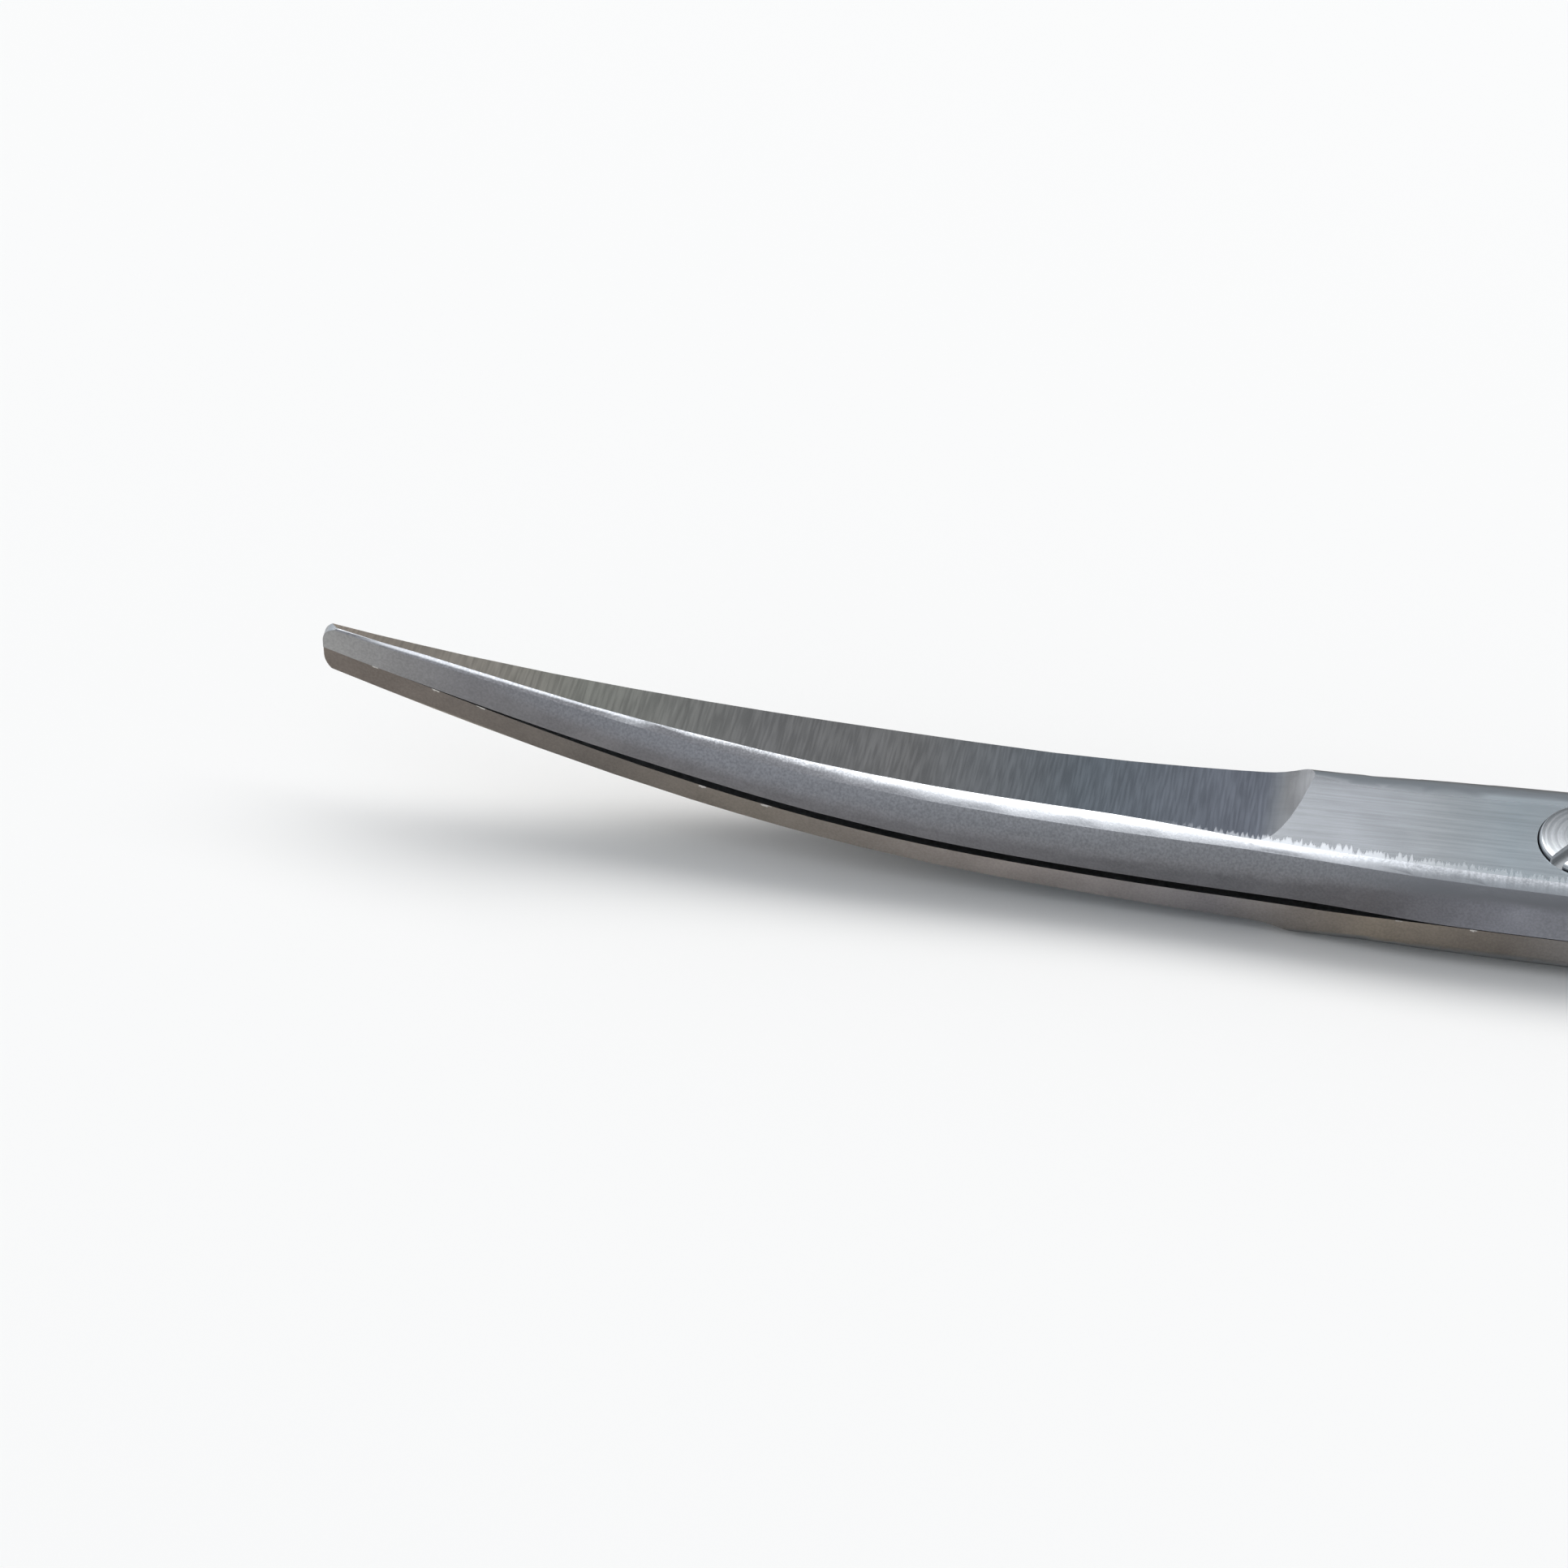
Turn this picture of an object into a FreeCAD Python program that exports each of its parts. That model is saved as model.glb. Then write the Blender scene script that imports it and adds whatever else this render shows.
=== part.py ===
"""Curved iris scissors, 115 mm, closed: two forged steel halves that cross at a slotted screw.

The frame: origin on the screw's axis, on the flat underside of the joint; the tips point along -X, the
finger rings along +X, and +Z is up, along the screw's axis and towards its head. Everything is in mm.
The tips bend up, towards the screw's head. The upper half has its spine at -Y and its ring at +Y.
"""

import FreeCAD
import Part

import math
import os

# The joint
half_thickness = 1.78
joint_half_width = 3.05
joint_edge_radius = 0.88
joint_crown_width = 1.0
joint_corner_radius = 4.15
lap_clearance = 0.10
lap_edge_bevel = 0.25
face_clearance = 0.03

# The screw
screw_head_radius = 1.70
screw_head_rise = 0.25
screw_head_depth = 0.85
screw_head_edge = 0.14
screw_neck_radius = 1.10
screw_thread_radius = 0.95
screw_end_chamfer = 0.15
slot_width = 0.52
slot_depth = 0.45
slot_angle = 52.0
running_clearance = 0.03
head_clearance = 0.05
head_lift = 0.02

# The blades
tip_reach = 43.0
tip_half_width = 0.21
tip_corner_run = 0.64
bend_start = 12.0
bend_radius = 108.0
relief_depth = 0.20
relief_start = 5.0
relief_full = 10.0
relief_fade = 0.715 * tip_reach
relief_end = tip_reach - 0.6
bevel_angle = 80.0
crest_width = 0.24
crown_lean = math.radians(33.0)
spine_fall = 0.80
edge_rounding = 0.32

# The ground facet on the outside of each blade
facet_heel = 11.05
grinding_wheel_radius = 3.4

# The shanks and the finger rings
shank_start = 10.0
shank_gap = 0.12
shank_root_width = 2.95
shank_taper = 0.40
shank_inner_bend = 132.0
shank_end = 50.0
handle_edge_radius = 1.25
ring_centre_x = 59.0
ring_centre_y = 12.1
ring_tilt = 9.0
ring_opening_length = 20.5
ring_opening_width = 16.6
ring_stock = 3.0
ring_crotch_radius = 6.0

margin = 5.0
overrun = 1.5
up = FreeCAD.Vector(0, 0, 1)

# Where the blade's sections stand, as shares of the way from the screw to the tip
joint_shares = [0.0, 0.07, 0.14, 0.205]
blade_shares = [0.25, 0.30, 0.37, 0.46, 0.56, 0.65, 0.74, 0.84, 0.92, 1.0]


# Rules of form, by the distance from the screw's axis


def smooth_step(value, start, end):
    share = min(1.0, max(0.0, (value - start) / (end - start)))
    return share * share * (3.0 - 2.0 * share)


def along_blade(points, reach):
    """Value at this reach of the smooth curve through points at shares of the blade's length."""
    curve = Part.BSplineCurve()
    curve.interpolate([FreeCAD.Vector(share, value, 0) for share, value in points])
    low, high = curve.FirstParameter, curve.LastParameter
    for _ in range(40):
        middle = (low + high) / 2
        if curve.value(middle).x < reach / tip_reach:
            low = middle
        else:
            high = middle
    return curve.value(low).y


def bend_rise(reach):
    """How far the curved blades have risen above the joint."""
    past = max(0.0, reach - bend_start)
    return bend_radius - math.sqrt(bend_radius**2 - past**2)


def inner_gap(reach):
    """Hollow of one inner face: least at the joint and at the tips, where the halves bear.

    Towards the tips it runs out evenly.
    """
    ground = smooth_step(reach, relief_start, relief_full)
    fading = min(1.0, max(0.0, (relief_end - reach) / (relief_end - relief_fade)))
    return face_clearance / 2 + relief_depth * ground * fading


def half_width(reach):
    points = [
        (-0.07, 1.0),
        (0.0, 1.0),
        (0.16, 0.93),
        (0.35, 0.81),
        (0.51, 0.735),
        (0.67, 0.56),
        (0.84, 0.295),
        (1.0, tip_half_width / joint_half_width),
    ]
    return joint_half_width * along_blade(points, reach)


def ridge_inset(reach):
    """Distance from the spine's side in to the ridge, where the rounding of the spine ends."""
    points = [
        (-0.07, 1.0),
        (0.10, 1.0),
        (0.25, 1.10),
        (0.37, 1.42),
        (0.53, 1.30),
        (0.70, 0.98),
        (0.86, 0.50),
        (1.0, 0.14),
    ]
    return joint_edge_radius * along_blade(points, reach)


def ridge_height(reach):
    """Thickness of a half under its ridge."""
    points = [
        (-0.07, 1.0),
        (0.21, 1.0),
        (0.37, 0.965),
        (0.56, 0.865),
        (0.74, 0.75),
        (0.88, 0.685),
        (1.0, 0.545),
    ]
    return half_thickness * along_blade(points, reach)


def bevel_height(reach):
    """Height of the thin side under the ground facet, above the cutting edge."""
    points = [(0.0, 0.73), (0.26, 0.685), (0.47, 0.605), (0.70, 0.60), (0.88, 0.605), (1.0, 0.49)]
    return half_thickness * along_blade(points, reach)


def bevel_lean(height, reach):
    """How far the thin side has leaned in at a height above the cutting edge."""
    steep = height / math.tan(math.radians(bevel_angle)) * smooth_step(reach, 0.45 * facet_heel, facet_heel)
    return min(steep, edge_rounding * half_width(reach))


# The forging of one half, before it is ground


def place(sign, x, y, height):
    """A point of a half: y from its spine towards its edge, height from the meeting face outwards."""
    return FreeCAD.Vector(x, sign * y, half_thickness + bend_rise(-x) + sign * height)


def inner_corner(sign, x, side, inward, radius):
    """Rounded corner on the side that is ground away, from the side to the level of the inner face."""
    bulge = radius * (1.0 - math.sqrt(0.5))
    low = -half_thickness
    return [
        place(sign, x, side, low + radius),
        place(sign, x, side + inward * bulge, low + bulge),
        place(sign, x, side + inward * radius, low),
    ]


def crown_width(inset, fall):
    """Width of the part of an even oval corner that leans less than the crown's lean."""
    return inset**2 * math.tan(crown_lean) / math.hypot(inset * math.tan(crown_lean), fall)


def outer_corner(sign, x, side, inward, top, inset, fall, crown):
    """Corner of the outer face, from its top to the side: a gentle crown, then a tighter rounding."""
    radius = crown / math.sin(crown_lean)
    drop = radius * (1.0 - math.cos(crown_lean))
    across, down = inset - crown, fall - drop
    rounding = (math.pi / 2 + crown_lean) / 2
    across_share = (1.0 - math.sin(rounding)) / (1.0 - math.sin(crown_lean))
    down_share = math.cos(rounding) / math.cos(crown_lean)
    return [
        place(sign, x, side + inward * inset, top),
        place(
            sign,
            x,
            side + inward * (inset - radius * math.sin(crown_lean / 2)),
            top - radius * (1.0 - math.cos(crown_lean / 2)),
        ),
        place(sign, x, side + inward * across, top - drop),
        place(sign, x, side + inward * across * across_share, top - fall + down * down_share),
        place(sign, x, side, top - fall),
    ]


def forging_section(sign, x):
    """Closed outline of the half across its length, counted round from the edge's side."""
    reach = max(0.0, -x)
    on_blade = smooth_step(-x, 0.45 * facet_heel, 1.08 * facet_heel)
    on_shank = smooth_step(x, 0.2 * shank_start, shank_start)
    on_joint = (1.0 - on_blade) * (1.0 - on_shank)
    spine = -half_width(reach) + (joint_half_width + shank_gap) * on_shank
    edge = half_width(reach) + (shank_gap + shank_root_width - joint_half_width) * on_shank
    top = ridge_height(reach)
    inset = ridge_inset(reach) + (handle_edge_radius - joint_edge_radius) * on_shank
    fall = inset * (1.0 - on_blade) + spine_fall * top * on_blade
    crest = max(crown_width(inset, fall), min(crest_width, spine_fall * inset))
    far = joint_edge_radius + (handle_edge_radius - joint_edge_radius) * on_shank
    far = min(far * (1.0 - (1.0 - edge_rounding) * on_blade), half_width(reach) / 2)
    crown = crown_width(far, far)
    wider = (joint_crown_width - crown) * on_joint
    lean = bevel_lean(top, reach)
    low = inset * (1.0 - on_blade) + min(inset, edge_rounding * half_width(reach)) * on_blade
    corners = [
        outer_corner(sign, x, edge - lean, -1, top, far + wider, far, crown + wider)[::-1],
        outer_corner(sign, x, spine, 1, top, inset, fall, crest),
        inner_corner(sign, x, spine, 1, low),
        inner_corner(sign, x, edge, -1, low)[::-1],
    ]
    sides = []
    for here, following in zip(corners, corners[1:] + corners[:1]):
        for first in range(0, len(here) - 1, 2):
            sides.append(Part.Arc(*here[first : first + 3]).toShape())
        sides.append(Part.makeLine(here[-1], following[0]))
    return Part.Wire(sides)


def forged_front(sign):
    """Blade, joint and the root of the shank."""
    ahead = [-share * tip_reach for share in reversed(joint_shares + blade_shares)]
    behind = [share * shank_start for share in (0.25, 0.5, 0.75, 1.0)]
    return Part.makeLoft([forging_section(sign, x) for x in ahead + behind], True)


def shank_side(y, bend):
    """One side of the shank in plan, leaving the joint straight and bending outwards."""
    run = shank_end - shank_start
    points = []
    for share in (0.0, 0.5, 1.0):
        x = share * run
        points.append(FreeCAD.Vector(shank_start + x, y + bend - math.sqrt(bend**2 - x**2), 0))
    return Part.Arc(points[0], points[1], points[2]).toShape()


def ring_oval(length, width):
    """Upright oval prism about the ring's centre, as high as the handle."""
    centre = FreeCAD.Vector(ring_centre_x, ring_centre_y, 0)
    oval = Part.Ellipse(FreeCAD.Vector(), length / 2, width / 2).toShape()
    oval.rotate(FreeCAD.Vector(), up, ring_tilt)
    oval.translate(centre)
    return Part.Face(Part.Wire(oval)).extrude(up * 2 * half_thickness)


def handle(sign):
    """Shank and finger ring, one prism with its crotches blended and its long edges rounded."""
    inner = shank_side(shank_gap, shank_inner_bend)
    rise = inner.lastVertex(True).Point.y - shank_gap - shank_taper
    run = shank_end - shank_start
    outer = shank_side(shank_gap + shank_root_width, (run**2 + rise**2) / (2 * rise))
    across = Part.makeLine(inner.lastVertex(True).Point, outer.lastVertex(True).Point)
    back = Part.makeLine(outer.firstVertex(True).Point, inner.firstVertex(True).Point)
    plan = Part.Face(Part.Wire(Part.__sortEdges__([inner, across, outer, back])))
    shank = plan.extrude(up * 2 * half_thickness)
    ring = ring_oval(ring_opening_length + 2 * ring_stock, ring_opening_width + 2 * ring_stock)
    body = shank.fuse(ring).removeSplitter()
    crotches = [
        edge
        for edge in body.Edges
        if edge.BoundBox.ZLength > half_thickness and shank_start + 1 < edge.BoundBox.XMin < shank_end
    ]
    body = body.makeFillet(ring_crotch_radius, crotches)
    body = body.cut(ring_oval(ring_opening_length, ring_opening_width))
    level = [
        edge
        for edge in body.Edges
        if edge.BoundBox.ZLength < 0.01 and edge.BoundBox.XMax > shank_start + 0.01
    ]
    body = body.makeFillet(handle_edge_radius, level)
    if sign < 0:
        body.rotate(FreeCAD.Vector(0, 0, half_thickness), FreeCAD.Vector(1, 0, 0), 180)
    return body


# Grinding and machining


def meeting_face_tool(sign):
    """The other half's side of this half's inner face: turned about the screw, so the blades can swing."""
    bearing = half_thickness + sign * face_clearance / 2
    points = []
    steps = 21
    for step in range(steps + 1):
        reach = relief_start + (tip_reach + margin - relief_start) * step / steps
        height = half_thickness + bend_rise(reach) + sign * inner_gap(reach)
        points.append(FreeCAD.Vector(0, reach, height))
    curve = Part.BSplineCurve()
    level, leaving = FreeCAD.Vector(0, 1, 0), points[-1] - points[-2]
    curve.interpolate(Points=points, InitialTangent=level, FinalTangent=leaving)
    beyond = -margin if sign > 0 else points[-1].z + margin
    rest = [
        points[-1],
        FreeCAD.Vector(0, points[-1].y, beyond),
        FreeCAD.Vector(0, 0, beyond),
        FreeCAD.Vector(0, 0, bearing),
        points[0],
    ]
    outline = Part.Wire([curve.toShape()] + Part.makePolygon(rest).Edges)
    front = Part.Face(outline).revolve(FreeCAD.Vector(), up, 180)
    disc = Part.makeCylinder(joint_corner_radius + lap_clearance, abs(beyond - bearing))
    disc.translate(FreeCAD.Vector(0, 0, min(beyond, bearing)))
    return front.fuse(disc)


def joint_corner_tool():
    """The room of the other half's shank, beside the round rear corner of the upper half's joint."""
    top = 2 * half_thickness
    far = joint_corner_radius + 2 * margin
    edge = joint_edge_radius
    bulge = edge * (1.0 - math.sqrt(0.5))
    start = FreeCAD.Vector(joint_corner_radius, 0, top - edge)
    middle = FreeCAD.Vector(joint_corner_radius - bulge, 0, top - bulge)
    end = FreeCAD.Vector(joint_corner_radius - edge, 0, top)
    rest = [
        end,
        FreeCAD.Vector(joint_corner_radius - edge, 0, top + margin),
        FreeCAD.Vector(far, 0, top + margin),
        FreeCAD.Vector(far, 0, -margin),
        FreeCAD.Vector(joint_corner_radius, 0, -margin),
        start,
    ]
    outline = Part.Wire([Part.Arc(start, middle, end).toShape()] + Part.makePolygon(rest).Edges)
    around = Part.Face(outline).revolve(FreeCAD.Vector(), up, -180)
    beside = Part.makePolygon(
        [
            FreeCAD.Vector(0, -far, -margin),
            FreeCAD.Vector(0, shank_gap + lap_edge_bevel, -margin),
            FreeCAD.Vector(0, shank_gap + lap_edge_bevel, 0),
            FreeCAD.Vector(0, shank_gap, lap_edge_bevel),
            FreeCAD.Vector(0, shank_gap, top - lap_edge_bevel),
            FreeCAD.Vector(0, shank_gap + lap_edge_bevel, top),
            FreeCAD.Vector(0, shank_gap + lap_edge_bevel, top + margin),
            FreeCAD.Vector(0, -far, top + margin),
            FreeCAD.Vector(0, -far, -margin),
        ]
    )
    around.rotate(FreeCAD.Vector(), up, 90)
    slab = Part.Face(beside).extrude(FreeCAD.Vector(far, 0, 0))
    return slab.common(around)


def facet_section(sign, x, lift):
    """Wedge above the ground facet, its lower side passing the ridge and the top of the thin side."""
    reach = min(-x, tip_reach)
    ridge_y = ridge_inset(reach) - half_width(reach)
    ridge = ridge_height(reach)
    bevel = bevel_height(reach)
    bevel_y = half_width(reach) - bevel_lean(bevel, reach)
    slope = (bevel - ridge) / (bevel_y - ridge_y)
    near_y, far_y = ridge_y - overrun, bevel_y + overrun
    near = ridge + slope * (near_y - ridge_y) + lift
    far = ridge + slope * (far_y - ridge_y) + lift
    corners = [
        place(sign, x, near_y, near),
        place(sign, x, far_y, far),
        place(sign, x, far_y, far + margin),
        place(sign, x, near_y, near + margin),
    ]
    return Part.makePolygon(corners + corners[:1])


def facet_tool(sign):
    """What the wheel grinds off: the facet, and its hollow run-out at the heel."""
    stations = [facet_heel] + [share * tip_reach for share in blade_shares[1:]] + [tip_reach + overrun]
    along = Part.makeLoft([facet_section(sign, -reach, 0.0) for reach in stations], True)
    sections = []
    for share in (0.0, 0.15, 0.3, 0.45, 0.6, 0.75, 0.9):
        back = share * grinding_wheel_radius
        lift = grinding_wheel_radius - math.sqrt(grinding_wheel_radius**2 - back**2)
        sections.append(facet_section(sign, back - facet_heel, lift))
    run_out = Part.makeLoft(sections, True)
    return [along, run_out]


def tip_corner_tool(sign):
    """The outer corner that is rounded off at the very tip, tangent to the end and to the outer face."""

    def outer_face(reach):
        height = half_thickness + bend_rise(reach) + sign * ridge_height(reach)
        return FreeCAD.Vector(-reach, -margin, height)

    corner = outer_face(tip_reach)
    inward = FreeCAD.Vector(0, 0, -sign)
    backward = (outer_face(tip_reach - tip_corner_run) - corner).normalize()
    half_angle = inward.getAngle(backward) / 2
    start = corner + inward * tip_corner_run
    end = corner + backward * tip_corner_run
    bisector = (inward + backward).normalize()
    middle = corner + bisector * tip_corner_run * (1.0 - math.sin(half_angle)) / math.cos(half_angle)
    outward = up.cross(FreeCAD.Vector(0, 1, 0)) * margin
    rest = [
        end,
        end - inward * margin,
        end - inward * margin + outward,
        start + outward,
        start,
    ]
    outline = Part.Wire([Part.Arc(start, middle, end).toShape()] + Part.makePolygon(rest).Edges)
    return Part.Face(outline).extrude(FreeCAD.Vector(0, 2 * margin, 0))


def cylinder_between(radius, low, high):
    return Part.makeCylinder(radius, high - low, FreeCAD.Vector(0, 0, low))


top_face = 2 * half_thickness
head_top = top_face + screw_head_rise
head_seat = head_top - screw_head_depth


def make_half(sign):
    body = forged_front(sign).fuse(handle(sign)).removeSplitter()
    corner_tool = joint_corner_tool()
    if sign < 0:
        corner_tool.rotate(FreeCAD.Vector(0, 0, half_thickness), FreeCAD.Vector(1, 0, 0), 180)
    body = body.cut(meeting_face_tool(sign))
    body = body.cut(corner_tool)
    for tool in facet_tool(sign) + [tip_corner_tool(sign)]:
        body = body.cut(tool)
    return body


def make_upper_half():
    body = make_half(1)
    body = body.cut(cylinder_between(screw_neck_radius + running_clearance, 0, top_face))
    counterbore = cylinder_between(screw_head_radius + head_clearance, head_seat - head_lift, top_face + 1)
    return body.cut(counterbore)


def make_lower_half():
    body = make_half(-1).cut(cylinder_between(screw_thread_radius, -1, half_thickness))
    wide = screw_thread_radius + screw_end_chamfer
    return body.cut(Part.makeCone(wide, screw_thread_radius, screw_end_chamfer))


def make_screw():
    """Slotted head, plain neck for the upper half to turn on, and the threaded end."""
    shoulder = half_thickness - face_clearance / 2
    head = cylinder_between(screw_head_radius, head_seat, head_top)
    rim = [edge for edge in head.Edges if edge.BoundBox.ZMin > head_seat + 0.1]
    head = head.makeFillet(screw_head_edge, rim)
    thread = cylinder_between(screw_thread_radius, 0, shoulder)
    end = [edge for edge in thread.Edges if edge.BoundBox.ZMax < 0.1]
    thread = thread.makeChamfer(screw_end_chamfer, end)
    body = head.fuse([cylinder_between(screw_neck_radius, shoulder, head_seat), thread])
    slot = Part.makeBox(4 * screw_head_radius, slot_width, slot_depth + 1)
    slot.translate(FreeCAD.Vector(-2 * screw_head_radius, -slot_width / 2, head_top - slot_depth))
    slot.rotate(FreeCAD.Vector(), up, slot_angle)
    return body.cut(slot).removeSplitter()


pieces = {
    "upper_half": make_upper_half(),
    "lower_half": make_lower_half(),
    "pivot_screw": make_screw(),
}
os.makedirs("parts", exist_ok=True)
for name, shape in pieces.items():
    print(name, shape.isValid(), len(shape.Solids), round(shape.Volume, 1), "mm3")
    shape.exportStep(f"parts/{name}.step")
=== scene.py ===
import math

import bpy
from mathutils import Matrix, Vector


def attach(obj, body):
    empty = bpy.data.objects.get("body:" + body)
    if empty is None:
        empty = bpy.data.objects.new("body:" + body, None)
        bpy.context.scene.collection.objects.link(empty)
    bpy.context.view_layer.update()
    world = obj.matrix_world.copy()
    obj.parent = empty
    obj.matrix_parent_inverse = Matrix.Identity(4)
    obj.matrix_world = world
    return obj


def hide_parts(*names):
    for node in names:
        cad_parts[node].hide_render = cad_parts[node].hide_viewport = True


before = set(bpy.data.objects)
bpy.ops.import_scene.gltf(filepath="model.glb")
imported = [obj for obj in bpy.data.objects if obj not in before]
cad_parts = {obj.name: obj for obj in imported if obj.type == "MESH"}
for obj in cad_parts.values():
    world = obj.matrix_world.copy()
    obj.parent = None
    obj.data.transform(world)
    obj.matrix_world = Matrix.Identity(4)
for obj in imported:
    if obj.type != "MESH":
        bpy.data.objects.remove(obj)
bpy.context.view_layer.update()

scene = bpy.context.scene
scene.view_settings.view_transform = "Standard"

# The viewpoint: a long lens over the near side of the blades, so that the handles fall outside the frame.
# The screw's head stands just past the right edge, and the tips end near the left one.
photo_px = 1932
px_per_mm = 37.0
camera_distance, nearest_seen = 0.200, 0.01
sensor_width = 36.0
azimuth, elevation = math.radians(9.3), math.radians(42.0)
head_at = Vector((0.0, 0.0, 0.00385))
head_px = Vector((1960.0, 1029.6))

back = Vector(
    (math.sin(azimuth) * math.cos(elevation), -math.cos(azimuth) * math.cos(elevation), math.sin(elevation))
)
right = Vector((math.cos(azimuth), math.sin(azimuth), 0.0))
upward = back.cross(right)
m_per_px = 0.001 / px_per_mm
aim = head_at - right * (head_px.x - photo_px / 2) * m_per_px + upward * (head_px.y - photo_px / 2) * m_per_px
facing = Matrix((right, upward, back)).transposed().to_4x4()
camera = bpy.data.objects.new("camera", bpy.data.cameras.new("camera"))
scene.collection.objects.link(camera)
camera.matrix_world = Matrix.Translation(aim + back * camera_distance) @ facing
camera.data.sensor_width = sensor_width
camera.data.lens = sensor_width * px_per_mm * camera_distance * 1000 / photo_px
camera.data.clip_start = nearest_seen
scene.camera = camera

# The studio: a wide white table top, one long softbox over the blades and a plain, slightly cool room.
# The room is darkest low behind the blades, where the ground facets reflect it.
table_reach = 12.0
table_colour, table_roughness = (0.965, 0.942, 0.912, 1.0), 0.9
room_colour = (0.93, 0.985, 1.05, 1.0)
room_light, far_wall_light, far_left_light = 0.42, 0.21, 0.80
high_behind_light, ceiling_light = 0.34, 0.90
softbox_width, softbox_depth, softbox_distance = 3.6, 0.90, 1.8
softbox_elevation, softbox_aside = math.radians(64.0), 0.10
softbox_radiance = 2.60

# Where one part of the room gives way to the next, by how far the gaze points right, away or up.
far_left_end, behind_start = (-0.56, -0.28), (-0.2, 0.3)
high_behind_start, ceiling_start = (0.54, 0.68), (0.62, 1.0)


class Signal:
    """A number that changes over a surface. Arithmetic on it adds Math nodes to its tree."""

    def __init__(self, tree, socket):
        self.tree, self.socket = tree, socket

    def math(self, operation, *numbers):
        return self.tree.add("ShaderNodeMath", {"operation": operation}, dict(enumerate(numbers)))

    def __add__(self, other):
        return self.math("ADD", self, other)

    def __sub__(self, other):
        return self.math("SUBTRACT", self, other)

    def __rsub__(self, other):
        return self.math("SUBTRACT", other, self)

    def __mul__(self, other):
        return self.math("MULTIPLY", self, other)

    def __neg__(self):
        return 0 - self

    def at_least(self, other):
        return self.math("MAXIMUM", self, other)

    def root(self):
        return self.math("SQRT", self)

    __radd__, __rmul__ = __add__, __mul__


class NodeTree:
    """A tree of nodes that grows by one node at a time."""

    def __init__(self, tree):
        self.nodes, self.links = tree.nodes, tree.links

    def add(self, kind, settings=None, inputs=None, output=0):
        node = self.nodes.new(kind)
        for name, value in (settings or {}).items():
            setattr(node, name, value)
        for name, value in (inputs or {}).items():
            self.feed(node.inputs[name], value)
        return Signal(self, node.outputs[output])

    def feed(self, socket, value):
        if isinstance(value, Signal):
            self.links.new(value.socket, socket)
        else:
            socket.default_value = value


class ShaderTree(NodeTree):
    """The nodes of one material or of the room's light."""

    def __init__(self, owner):
        owner.use_nodes = True
        super().__init__(owner.node_tree)

    def rise(self, value, low, high, start=0.0, end=1.0):
        """Goes smoothly from start to end while the value goes from low to high."""
        limits = {"Value": value, "From Min": low, "From Max": high, "To Min": start, "To Max": end}
        return self.add("ShaderNodeMapRange", {"interpolation_type": "SMOOTHSTEP"}, limits)

    def fall(self, value, low, high):
        """Goes smoothly from 1 to 0 while the value goes from low to high."""
        return self.rise(value, low, high, 1.0, 0.0)

    def parts(self, vector):
        split = self.add("ShaderNodeSeparateXYZ", {}, {"Vector": vector})
        return [Signal(self, socket) for socket in split.socket.node.outputs]


table_mesh = bpy.data.meshes.new("table_top")
corners = [(x * table_reach, y * table_reach, 0.0) for x, y in ((-1, -1), (1, -1), (1, 1), (-1, 1))]
table_mesh.from_pydata(corners, [], [(0, 1, 2, 3)])
table_top = bpy.data.objects.new("table_top", table_mesh)
scene.collection.objects.link(table_top)
table_paint = bpy.data.materials.new("table_paint")
table_shader = ShaderTree(table_paint).nodes["Principled BSDF"]
table_shader.inputs["Base Color"].default_value = table_colour
table_shader.inputs["Roughness"].default_value = table_roughness
table_shader.inputs["Specular IOR Level"].default_value = 0.0
table_mesh.materials.append(table_paint)

room = bpy.data.worlds.new("room")
scene.world = room
room_tree = ShaderTree(room)
gaze_x, gaze_y, gaze_z = room_tree.parts(room_tree.add("ShaderNodeTexCoord", output="Generated"))
low_wall = room_tree.rise(gaze_x, *far_left_end, far_left_light, far_wall_light)
behind = low_wall + room_tree.rise(gaze_z, *high_behind_start) * (high_behind_light - low_wall)
walls = room_light + room_tree.rise(gaze_y, *behind_start) * (behind - room_light)
ceiling = room_tree.rise(gaze_z, *ceiling_start)
room_shader = room_tree.nodes["Background"]
room_tree.feed(room_shader.inputs["Strength"], walls + ceiling * (ceiling_light - walls))
room_shader.inputs["Color"].default_value = room_colour

softbox = bpy.data.objects.new("softbox", bpy.data.lights.new("softbox", "AREA"))
scene.collection.objects.link(softbox)
softbox.data.shape = "RECTANGLE"
softbox.data.size, softbox.data.size_y = softbox_width, softbox_depth
softbox.data.energy = softbox_radiance * math.pi * softbox_width * softbox_depth
softbox_way = Vector((softbox_aside, math.cos(softbox_elevation), math.sin(softbox_elevation))).normalized()
softbox.location = softbox_way * softbox_distance
softbox.rotation_euler = softbox_way.to_track_quat("Z", "Y").to_euler()


# The two halves: each one forging of stainless steel with its ring at the far end. The wheel has left fine
# lines across the facets, the joint and the handles are polished, and the blades' sides keep a matt skin.
half_thickness = 1.78
bend_start, bend_radius = 12.0, 108.0
facet_heel = 11.05
ring_centre_x, ring_centre_y = 59.0, 12.1
thin_crest_from = -42.0

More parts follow.
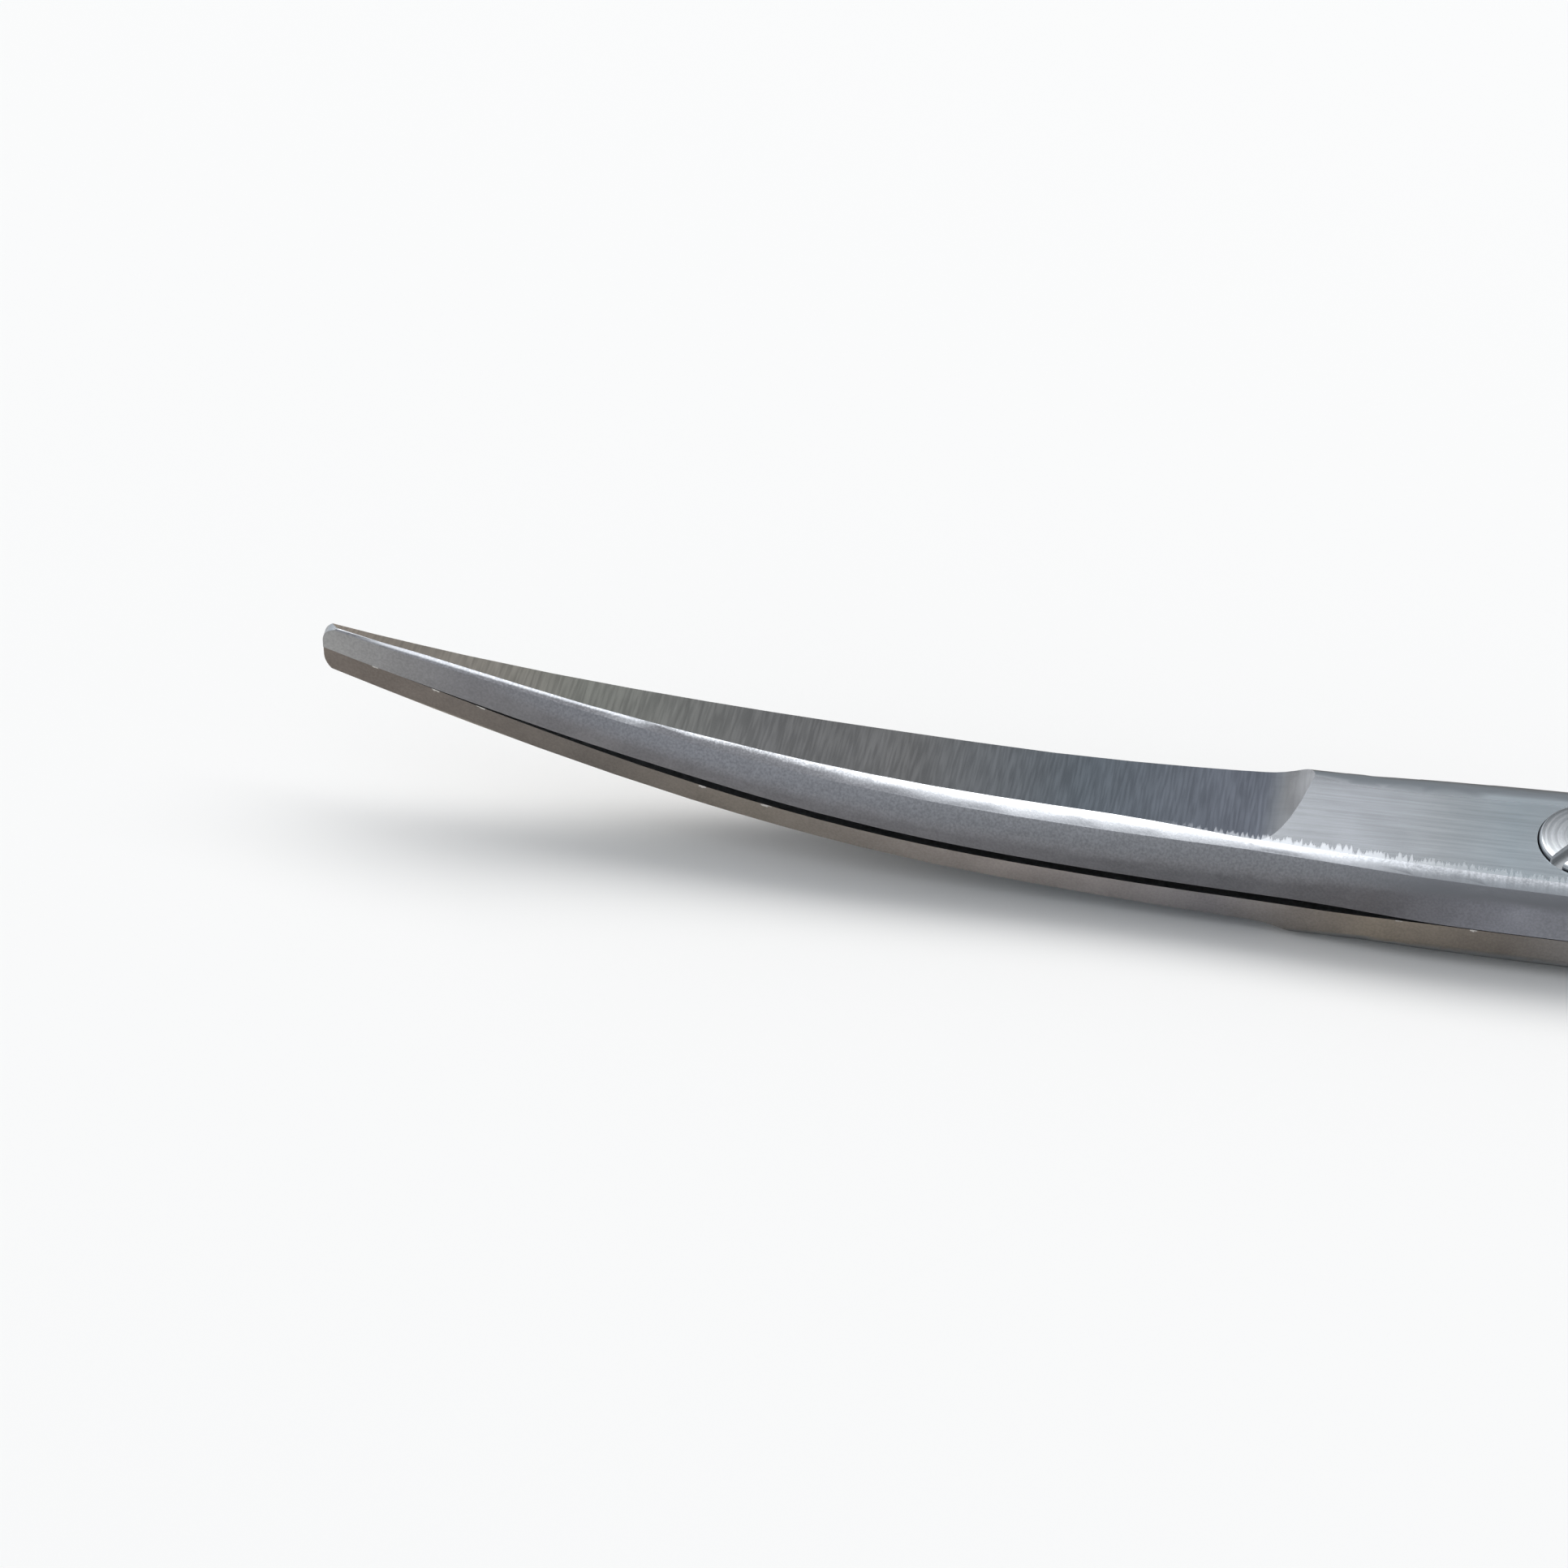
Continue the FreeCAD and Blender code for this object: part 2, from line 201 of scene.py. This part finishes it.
# Colours of the steel that stay the same along the scissors.
glancing_tint = (0.55, 0.55, 0.55, 1.0)
# The narrow shoulder is painted shade, darker than the steel, so that the lamp's highlight stops short on it.
shoulder_steel, narrow_shoulder_painted_shade = (0.34, 0.34, 0.355, 1.0), (0.17, 0.17, 0.18)
shoulder_worn = (0.25, 0.255, 0.27, 1.0)
crest_dull, crest_bright = (0.58, 0.59, 0.62, 1.0), (0.68, 0.69, 0.71, 1.0)
# The brushed light is a painted highlight: pale teeth along the top of the joint's ridge highlight.
brush_steel, painted_brush_highlight = (0.33, 0.34, 0.36), (0.72, 0.74, 0.77, 1.0)
# The hollow's run-out is the wheel's real hollow, painted lighter as a painted reflection.
# The inner faces are painted darker, painted shade in the gap between the halves.
hollow_painted_light, inner_painted_shade = (0.65, 0.64, 0.64), (0.42, 0.43, 0.44)
# The far rim's brown is the table's painted reflection; on the joint the rim is painted shade.
far_rim_painted_reflection, joint_rim_painted_shade = (0.34, 0.30, 0.25, 1.0), (0.21, 0.21, 0.21, 1.0)
# The joint's far rounding has the tone of its reflection painted in.
far_rounding_painted_tone = (0.33, 0.355, 0.38, 1.0)
nick_steel = (0.62, 0.60, 0.57, 1.0)

# Colours of the steel by the distance along from the pivot, in mm. Each ramp also carries painted reflection and
# shade.
# The joint's top gets bluer and darker towards the screw: painted reflection.
joint_reflection_tones = [
    (-12.0, (0.55, 0.57, 0.59)),
    (-8.0, (0.53, 0.55, 0.58)),
    (-5.0, (0.44, 0.465, 0.485)),
    (-2.5, (0.38, 0.425, 0.455)),
    (4.0, (0.48, 0.50, 0.52)),
    (16.0, (0.58, 0.59, 0.61)),
]
# The facets: the ground steel's tone with painted reflection, olive near the tips and bluish towards the heel.
facet_reflection_tones = [
    (-42.0, (0.62, 0.535, 0.455)),
    (-34.0, (0.40, 0.40, 0.36)),
    (-28.0, (0.322, 0.318, 0.315)),
    (-23.0, (0.334, 0.33, 0.328)),
    (-17.0, (0.268, 0.302, 0.34)),
    (-12.0, (0.284, 0.306, 0.358)),
]
# The sides: lighter or darker along the blade by painted reflection and shade, so that their tone stays even.
side_painted_tones = [
    (-42.5, (0.40, 0.395, 0.39)),
    (-38.0, (0.28, 0.275, 0.285)),
    (-33.0, (0.25, 0.243, 0.25)),
    (-22.0, (0.20, 0.197, 0.207)),
    (-17.0, (0.158, 0.156, 0.165)),
    (-12.0, (0.14, 0.14, 0.15)),
    (-7.0, (0.165, 0.16, 0.168)),
    (-2.5, (0.34, 0.345, 0.38)),
    (6.0, (0.40, 0.41, 0.43)),
    (20.0, (0.50, 0.51, 0.53)),
]
# The lower half's near side: brown and dark with the table's painted reflection.
thin_side_reflection_tones = [
    (-42.0, (0.187, 0.162, 0.144)),
    (-34.0, (0.195, 0.175, 0.158)),
    (-28.0, (0.262, 0.232, 0.20)),
    (-19.0, (0.365, 0.328, 0.31)),
    (-12.4, (0.288, 0.274, 0.282)),
    (-7.0, (0.305, 0.264, 0.218)),
    (-2.5, (0.205, 0.183, 0.163)),
    (6.0, (0.40, 0.41, 0.43)),
    (20.0, (0.50, 0.51, 0.53)),
]

# The marks of each finish: how many to the mm along, across and up. The wheel's and the polish's lines are
# fine marks over coarse ones, in the share that comes third.
wheel_marks = (11.0, 0.6, 0.3), (4.0, 0.3, 0.2), 0.7
polish_marks = (0.25, 9.0, 2.0), (0.15, 3.2, 1.0), 0.6
ring_marks, brush_marks = (6.0, 0.3, 6.0), (7.5, 0.6, 0.5)
skin_marks, speckle_marks, cloud_marks = (12.0, 12.0, 12.0), (14.0, 14.0, 14.0), (0.6, 0.8, 0.8)

# How strong a colour is under its marks: the least, and what each pattern of marks adds to it.
polish_mottle, wheel_mottle, side_mottle = (0.88, 0.12, 0.08), (0.88, 0.18, 0.06), (0.84, 0.18, 0.14)
hollow_mottle, inner_mottle = (0.92, 0.12), (0.94, 0.10)
brush_mottle, shoulder_mottle = (0.80, 0.40), (0.84, 0.32)
# The far edge's loss is painted shade on the joint's top.
# The narrow shoulder's gain is painted light, stronger as it faces the near side.
narrow_shoulder_painted_gain, far_edge_painted_shade = 2.1, 0.24
brushed_strong, brushed_faint = 0.8, 0.2

# The relief of the marks in mm, and the roughness of polished steel with what each finish adds to it.
wheel_depth, polish_depth, skin_depth, nick_relief = 0.0004, 0.0004, 0.0022, 0.0066
polished_rough, facet_rough, wheel_rough, brushed_rough = 0.25, 0.10, 0.04, 0.20
narrow_shoulder_rough, wide_shoulder_rough, worn_rough = 0.32, 0.22, 0.20
side_rough, far_rounding_rough = 0.08, 0.28

# Where a finish sets in and is full, or begins to end and is gone, in mm along from the pivot.
facet_end, joint_start = (-facet_heel, 1.0 - facet_heel), (-facet_heel, 2.0 - facet_heel)
hollow_start, hollow_end = (-0.6 - facet_heel, -facet_heel), (-7.9, -7.5)
handle_start, ring_start, far_edge_end = (0.0, 12.0), (44.0, 50.0), (-6.0, -3.0)
wide_start, thin_end = (-29.0, -18.0), (-34.0, -30.0)
buffed_start, worn_start = (-31.0, -18.0), (-10.0, -4.5)
brushed_start, brushed_thins = (-15.0, -11.0), (-8.5, -3.5)

# The same by how far the surface faces one way, from -1 to 1.
outer_lean, inner_lean, level_lean = (0.15, 0.60), (0.85, 0.97), (0.94, 0.99)
facet_lean, heel_lean, near_side_lean = (0.04, 0.08), (-0.34, -0.14), (-0.4, -0.1)
far_rounding_lean, far_rim_start, far_rim_end = (0.04, 0.25), (0.50, 0.66), (0.86, 0.97)
crest_lean, narrow_lean, past_crest_lean = (0.0, 0.04), (0.30, 0.80), (0.10, 0.20)
rough_rounding_lean, rough_far_lean = (0.06, 0.34), (0.0, 0.12)
speckle_shift, joint_rim_shift = 0.20, 0.14

# The lean at which the shoulder starts and is full, each with what a wide and a thin spine add to it.
shoulder_start, shoulder_full = (0.10, 0.04, 0.22), (0.28, 0.32, 0.16)

# Slanting lines on the top, in mm: how far out they start, their slope and their bend. A finish, a painted shade
# or a painted highlight fades over the band beside its line.
thin_crest_line, thin_crest_band = (0.17, 0.030, 0.0014), (-0.16, -0.07)
ridge_line, brushed_band, brush_reach = (-2.17, -0.02, 0.0022), (-0.08, 0.10), 0.40
far_edge_slope, far_edge_band = 0.035, (1.50, 2.25)

# The height of a nick in mm, and where it fades, in its own lengths and heights from its middle.
nick_height, nick_band = 0.08, (0.7, 1.3)


class Steel(ShaderTree):
    """A ground steel finish. Lengths along, across and up the scissors are in mm from the pivot."""

    def __init__(self, name):
        self.material = bpy.data.materials.new(name)
        super().__init__(self.material)
        self.shader = self.nodes["Principled BSDF"]
        self.shader.inputs["Metallic"].default_value = 1.0
        self.shader.inputs["Specular Tint"].default_value = glancing_tint
        place = self.add("ShaderNodeTexCoord", output="Object")
        self.mm = self.add("ShaderNodeVectorMath", {"operation": "SCALE"}, {0: place, "Scale": 1000.0})
        self.along, self.across, self.up = self.parts(self.mm)
        self.normal = self.add("ShaderNodeTexCoord", output="Normal")

    def section_lean(self, outward):
        """Which way the surface faces in its cross-section: across, and outwards, each from -1 to 1."""
        sides = {0: self.normal, 1: (0.0, outward, outward)}
        across_section = self.add("ShaderNodeVectorMath", {"operation": "MULTIPLY"}, sides)
        return self.parts(self.add("ShaderNodeVectorMath", {"operation": "NORMALIZE"}, {0: across_section}))[1:]

    def distance(self, *offsets):
        """How far a place is from where all the offsets are 0."""
        return sum(offset * offset for offset in offsets).root()

    def line(self, way, start, slope, bend):
        """How far a slanting line lies from the middle, by the way along it."""
        return way * way * bend + way * slope + start

    def grain(self, per_mm, detail=2.0, low=0.35, high=0.65, where=None):
        """Uneven marks from 0 to 1, with so many to the mm along, across and up the scissors."""
        stretched = self.add("ShaderNodeMapping", {}, {"Vector": where or self.mm, "Scale": per_mm})
        noise = self.add("ShaderNodeTexNoise", {}, {"Vector": stretched, "Scale": 1.0, "Detail": detail})
        return self.rise(noise, low, high)

    def lines(self, fine, coarse, fine_share):
        """Fine marks over coarser ones, from 0 to 1."""
        return self.grain(fine, detail=1.0) * fine_share + self.grain(coarse, detail=1.0) * (1 - fine_share)

    def tint(self, amount, first, second):
        """From the first colour to the second as the amount goes from 0 to 1."""
        colours = {0: amount, 6: first, 7: second}
        return self.add("ShaderNodeMix", {"data_type": "RGBA"}, colours, output=2)

    def shade(self, colour, amount):
        return self.add("ShaderNodeVectorMath", {"operation": "SCALE"}, {0: colour, "Scale": amount})

    def mottle(self, colour, strengths, *patterns):
        """The colour at its least strength, and stronger by what each pattern of marks adds."""
        least, *added = strengths
        return self.shade(colour, sum((pattern * amount for pattern, amount in zip(patterns, added)), least))

    def tones(self, stops):
        """The colour of the steel along the scissors, through the stops."""
        first, last = stops[0][0], stops[-1][0]
        ramp = self.add("ShaderNodeValToRGB", {}, {0: (self.along - first) * (1 / (last - first))})
        elements = ramp.socket.node.color_ramp.elements
        for place, colour in stops[1:-1]:
            elements.new((place - first) / (last - first))
        for element, (place, colour) in zip(elements, stops):
            element.color = (*colour, 1.0)
        return ramp

    def finish(self, colour, roughness, relief):
        """Gives the shader its colour, its roughness and its relief, in mm."""
        for name, value in (("Base Color", colour), ("Roughness", roughness)):
            self.feed(self.shader.inputs[name], value)
        height = {"Strength": 1.0, "Distance": 0.001, "Height": relief}
        self.feed(self.shader.inputs["Normal"], self.add("ShaderNodeBump", {}, height))


def finish_half(name, outward, nicks):
    """The finish of the half whose outer face looks up (1) or down (-1), with nicks along its near edge."""
    steel = Steel(name)
    faces_along, faces_far = steel.parts(steel.normal)[:2]
    faces_across, faces_out = steel.section_lean(outward)
    faces_near = -faces_across
    out_across = steel.across * outward
    front = steel.fall(steel.along, *handle_start)
    outer = steel.rise(faces_out, *outer_lean)
    inner = steel.rise(-faces_out, *inner_lean)
    level = steel.rise(faces_out, *level_lean)

    wheel_lines = steel.lines(*wheel_marks)
    polish_lines = steel.lines(*polish_marks)
    from_ring = steel.distance(steel.along - ring_centre_x, steel.across - outward * ring_centre_y)
    round_ring = steel.add("ShaderNodeCombineXYZ", {}, {"X": from_ring, "Y": steel.along, "Z": steel.up})
    ring_lines = steel.grain(ring_marks, detail=1.0, where=round_ring)
    polish_lines = polish_lines + steel.rise(steel.along, *ring_start) * (ring_lines - polish_lines)
    skin = steel.grain(skin_marks, low=0.25, high=0.75)
    clouds = steel.grain(cloud_marks, low=0.3, high=0.7)

    # The polished top, with the wheel's hollow and the facet ground into it
    colour = steel.mottle(steel.tones(joint_reflection_tones), polish_mottle, polish_lines, clouds)
    facet = steel.rise(faces_across, *facet_lean) * steel.fall(steel.along, *facet_end)
    colour = steel.tint(facet, colour, steel.mottle(steel.tones(facet_reflection_tones), wheel_mottle, wheel_lines, clouds))
    run_out = steel.rise(steel.along, *hollow_start) * steel.fall(steel.along, *hollow_end)
    hollow = steel.fall(faces_along, *heel_lean) * run_out * outer
    # The wheel's hollow, its run-out painted lighter as a painted reflection.
    colour = steel.tint(hollow, colour, steel.mottle(hollow_painted_light, hollow_mottle, wheel_lines))

    # The joint's far edge, darkened by painted shade, and its rounding down to the far side with its reflected
    # tone painted in
    on_joint = steel.rise(steel.along, *joint_start) * front * (1 - hollow)
    far_edge_shade = steel.rise(out_across - steel.along * far_edge_slope, *far_edge_band)
    far_edge_shade = far_edge_shade * steel.fall(steel.along, *far_edge_end) * on_joint
    colour = steel.shade(colour, 1 - far_edge_shade * far_edge_painted_shade)
    colour = steel.tint(steel.rise(faces_across, *far_rounding_lean) * on_joint, colour, far_rounding_painted_tone)

    # The rounded spine: a crest beside the facet, buffed bright where it is wide, then a matt shoulder
    wide = steel.rise(steel.along, *wide_start)
    thin = steel.fall(steel.along, *thin_end)
    worn = steel.rise(steel.along, *worn_start)
    start, full = (
        plain + wide * if_wide + thin * if_thin for plain, if_wide, if_thin in (shoulder_start, shoulder_full)
    )
    shoulder = steel.rise(faces_near, start, full)
    # Below the thin crest near the tips the shoulder's dark tone is painted over the bevel, painted shade that
    # narrows the highlight.
    off_crest = out_across + steel.line(steel.along - thin_crest_from, *thin_crest_line)
    painted_shade_past_crest = steel.fall(off_crest, *thin_crest_band) * thin * steel.rise(faces_near, *past_crest_lean)
    shoulder = shoulder + painted_shade_past_crest * (1 - shoulder)
    crest = steel.rise(faces_near, *crest_lean) * (1 - shoulder)
    brush = steel.grain(brush_marks, detail=3.0, low=0.3, high=0.7)
    buffed_tone = steel.tint(steel.rise(steel.along, *buffed_start), crest_dull, crest_bright)
    crest_tone = steel.tint(worn, buffed_tone, steel.mottle(brush_steel, brush_mottle, brush))
    # The narrow shoulder's painted shade, painted lighter the more the surface faces the near side.
    narrow_painted_light = steel.rise(faces_near, *narrow_lean, 1.0, narrow_shoulder_painted_gain)
    painted_shoulder_tone = steel.tint(wide, steel.shade(narrow_shoulder_painted_shade, narrow_painted_light), shoulder_steel)
    painted_shoulder_tone = steel.tint(worn, steel.mottle(painted_shoulder_tone, shoulder_mottle, skin), shoulder_worn)
    colour = steel.tint(crest * front, colour, crest_tone)
    colour = steel.tint(shoulder * front, colour, painted_shoulder_tone)

    # Brush marks that run from the joint's top over its near rounding: rougher, and painted lighter as a painted
    # highlight
    past_ridge = out_across - steel.line(steel.along, *ridge_line)
    brushed_and_glint = steel.rise(brush * brush_reach - past_ridge, *brushed_band) * level * front
    brushed_and_glint = brushed_and_glint * steel.rise(steel.along, *brushed_start)
    brushed_and_glint = brushed_and_glint * steel.rise(steel.along, *brushed_thins, brushed_strong, brushed_faint)
    colour = steel.tint(brushed_and_glint, colour, painted_brush_highlight)

    # The sides, lighter or darker along the blade by painted reflection and shade, the rim above the far one and
    # the inner face
    sides = steel.tones(side_painted_tones)
    if nicks:
        near_side = steel.fall(faces_far, *near_side_lean)
        # The near side takes the table's painted reflection in brown.
        sides = steel.tint(near_side, sides, steel.tones(thin_side_reflection_tones))
    colour = steel.tint(outer, steel.mottle(sides, side_mottle, skin, clouds), colour)
    # The rim above the far side: the table's painted reflection in brown, and painted shade on the joint.
    painted_far_rim = steel.rise(faces_across + on_joint * joint_rim_shift, *far_rim_start) * outer * front
    painted_far_rim = painted_far_rim * steel.fall(faces_across, *far_rim_end)
    colour = steel.tint(painted_far_rim, colour, steel.tint(on_joint, far_rim_painted_reflection, joint_rim_painted_shade))
    # The inner face, darkened by painted shade between the halves.
    colour = steel.tint(inner, colour, steel.mottle(inner_painted_shade, inner_mottle, wheel_lines))

    # The relief, and the nicks below the plane where the halves meet, which bends upwards to the tips
    polished = level * (1 - facet)
    matt_skin = (1 - facet - polished) * front * (1 - inner)
    relief = (facet + inner) * wheel_lines * wheel_depth + polished * polish_lines * polish_depth
    relief = relief + matt_skin * skin * skin_depth
    if nicks:
        past_bend = (-(steel.along + bend_start)).at_least(0.0)
        meeting_up = half_thickness + bend_radius - (bend_radius**2 - past_bend * past_bend).root()
        for x, length, depth in nicks:
            off_along = (steel.along - x) * (1 / length)
            off_up = (steel.up - meeting_up + depth) * (1 / nick_height)
            nick = steel.fall(off_along * off_along + off_up * off_up + skin, *nick_band) * near_side
            colour = steel.tint(nick, colour, nick_steel)
            relief = relief + nick * nick_relief

    # The roughness
    speckle = (steel.grain(speckle_marks, low=0.2, high=0.8) - 0.5) * speckle_shift
    rounding = steel.rise(faces_near + speckle, *rough_rounding_lean)
    rounding = rounding * (wide * (wide_shoulder_rough - narrow_shoulder_rough) + narrow_shoulder_rough)
    dull = (rounding + (1 - outer) * side_rough + worn * (crest + shoulder) * worn_rough) * front
    ground = (wheel_lines * wheel_rough + facet_rough) * facet
    rough_far = steel.rise(faces_across, *rough_far_lean) * on_joint * far_rounding_rough
    steel.finish(colour, polished_rough + dull + brushed_and_glint * brushed_rough + ground + rough_far, relief)
    return steel.material


# Nicks on the near edge of the lower half: place along it, length, and depth below the meeting plane.
edge_nicks = [
    (-41.2, 0.16, 0.05),
    (-39.1, 0.16, 0.08),
    (-37.5, 0.24, 0.09),
    (-29.8, 0.20, 0.25),
    (-27.6, 0.26, 0.25),
    (-6.0, 0.16, 0.08),
    (-3.5, 0.14, 0.06),
]
for half, outward, nicks in (("lower_half", -1, edge_nicks), ("upper_half", 1, [])):
    finish = finish_half(half + "_finish", outward, nicks)
    for slot in bpy.data.objects[half].material_slots:
        slot.material = finish


# The pivot screw: turned from stainless bar, its low dome slotted by a saw. It passes the upper half, which
# turns on its neck, and its thread fills the tapped hole of the lower half.
head_radius, head_top, head_depth = 1.70, 3.81, 0.85
head_edge, head_dome = 0.14, 0.05
neck_radius, thread_radius, thread_top, end_chamfer = 1.10, 0.95, 1.765, 0.15
slot_width, slot_depth, slot_turn = 0.52, 0.45, math.radians(52.0)
edge_turn, dome_steps = 15, 8
turned_steel = (0.64, 0.66, 0.68)
turning_marks, turning_mottle, turning_depth = (9.0, 1.0, 1.0), (0.92, 0.10), 0.0006
turned_rough, turning_rough, in_slot_rough = 0.20, 0.04, 0.15
# Inside the slot the colour is darkened by painted shade, and the steel is rougher.
in_slot_end, slot_painted_shade = (head_top - 0.30, head_top - 0.14), 0.45

# The outline is swept round a circle of this radius, in mm, and is drawn that much nearer to the axis.
turning_radius, turning_steps = 1.0, 96
weld_distance, crease_angle = 1e-6, math.radians(30.0)

seat = head_top - head_depth
outline = [
    (0.0, 0.0),
    (thread_radius - end_chamfer, 0.0),
    (thread_radius, end_chamfer),
    (thread_radius, thread_top),
    (neck_radius, thread_top),
    (neck_radius, seat),
    (head_radius, seat),
]
dome_radius = head_radius - head_edge
for degrees in range(0, 91, edge_turn):
    turn = math.radians(degrees)
    level = head_top - head_dome - head_edge * (1 - math.sin(turn))
    outline.append((dome_radius + head_edge * math.cos(turn), level))
for step in range(1, dome_steps + 1):
    share = 1 - step / dome_steps
    outline.append((dome_radius * share, head_top - head_dome * share**2))
bar = bpy.data.meshes.new("turned_screw")
points = [((radius - turning_radius) / 1000, -height / 1000, 0.0) for radius, height in outline]
bar.from_pydata(points, [(i, i + 1) for i in range(len(points) - 1)], [])
screw = bpy.data.objects.new("turned_screw", bar)
scene.collection.objects.link(screw)

screw_finish = Steel("screw_finish")
from_axis = screw_finish.distance(screw_finish.along, screw_finish.across)
round_axis = screw_finish.add("ShaderNodeCombineXYZ", {}, {"X": from_axis, "Y": screw_finish.up})
turning = screw_finish.grain(turning_marks, detail=1.0, where=round_axis)
in_slot = screw_finish.fall(screw_finish.up, *in_slot_end) * screw_finish.fall(from_axis, dome_radius, head_radius)
screw_colour = screw_finish.mottle(turned_steel, turning_mottle, turning)
# The slot darkened by painted shade.
screw_colour = screw_finish.shade(screw_colour, 1 - in_slot * slot_painted_shade)
screw_roughness = turned_rough + turning * turning_rough + in_slot * in_slot_rough
screw_finish.finish(screw_colour, screw_roughness, turning * turning_depth)

group = bpy.data.node_groups.new("turned_and_slotted", "GeometryNodeTree")
group.interface.new_socket("Outline", in_out="INPUT", socket_type="NodeSocketGeometry")
sizes = {
    "Turning radius": turning_radius / 1000,
    "Head top": head_top / 1000,
    "Slot length": 4 * head_radius / 1000,
    "Slot width": slot_width / 1000,
    "Slot depth": slot_depth / 1000,
    "Slot turn": slot_turn,
}
named = {name: group.interface.new_socket(name, in_out="INPUT", socket_type="NodeSocketFloat") for name in sizes}
group.interface.new_socket("Screw", in_out="OUTPUT", socket_type="NodeSocketGeometry")
making = NodeTree(group)
group_inputs = making.nodes.new("NodeGroupInput").outputs
given = {socket.name: Signal(making, socket) for socket in group_inputs if socket.name}
circle_sizes = {"Resolution": turning_steps, "Radius": given["Turning radius"]}
circle = making.add("GeometryNodeCurvePrimitiveCircle", {}, circle_sizes)
profile = making.add("GeometryNodeMeshToCurve", {}, {"Mesh": given["Outline"]})
turned = making.add("GeometryNodeCurveToMesh", {}, {"Curve": circle, "Profile Curve": profile})
turned = making.add("GeometryNodeMergeByDistance", {}, {"Geometry": turned, "Distance": weld_distance})
saw_size = making.add("ShaderNodeCombineXYZ", {}, {
    "X": given["Slot length"], "Y": given["Slot width"], "Z": given["Slot depth"] * 2})
saw = making.add("GeometryNodeTransform", {}, {
    "Geometry": making.add("GeometryNodeMeshCube", {}, {"Size": saw_size}),
    "Translation": making.add("ShaderNodeCombineXYZ", {}, {"Z": given["Head top"]}),
    "Rotation": making.add("ShaderNodeCombineXYZ", {}, {"Z": given["Slot turn"]}),
})
slotted = making.add("GeometryNodeMeshBoolean", {"operation": "DIFFERENCE", "solver": "EXACT"},
                     {"Mesh 1": turned, "Mesh 2": saw})
smooth = making.add("GeometryNodeSetShadeSmooth", {}, {"Geometry": slotted, "Shade Smooth": True})
sharp = making.add("FunctionNodeCompare", {"operation": "GREATER_THAN"}, {
    "A": making.add("GeometryNodeInputMeshEdgeAngle"), "B": crease_angle})
creased = making.add("GeometryNodeSetShadeSmooth", {"domain": "EDGE"},
                     {"Geometry": smooth, "Selection": sharp, "Shade Smooth": False})
whole = making.add("GeometryNodeRealizeInstances", {}, {"Geometry": creased})
whole = making.add("GeometryNodeSetMaterial", {}, {"Geometry": whole, "Material": screw_finish.material})
making.feed(making.nodes.new("NodeGroupOutput").inputs["Screw"], whole)

turning_job = screw.modifiers.new("turned_and_slotted", "NODES")
turning_job.node_group = group
for name, size in sizes.items():
    turning_job[named[name].identifier] = size
made = bpy.data.meshes.new_from_object(screw.evaluated_get(bpy.context.evaluated_depsgraph_get()))
screw.modifiers.clear()
screw.data = made
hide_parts("pivot_screw")
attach(screw, "lower")
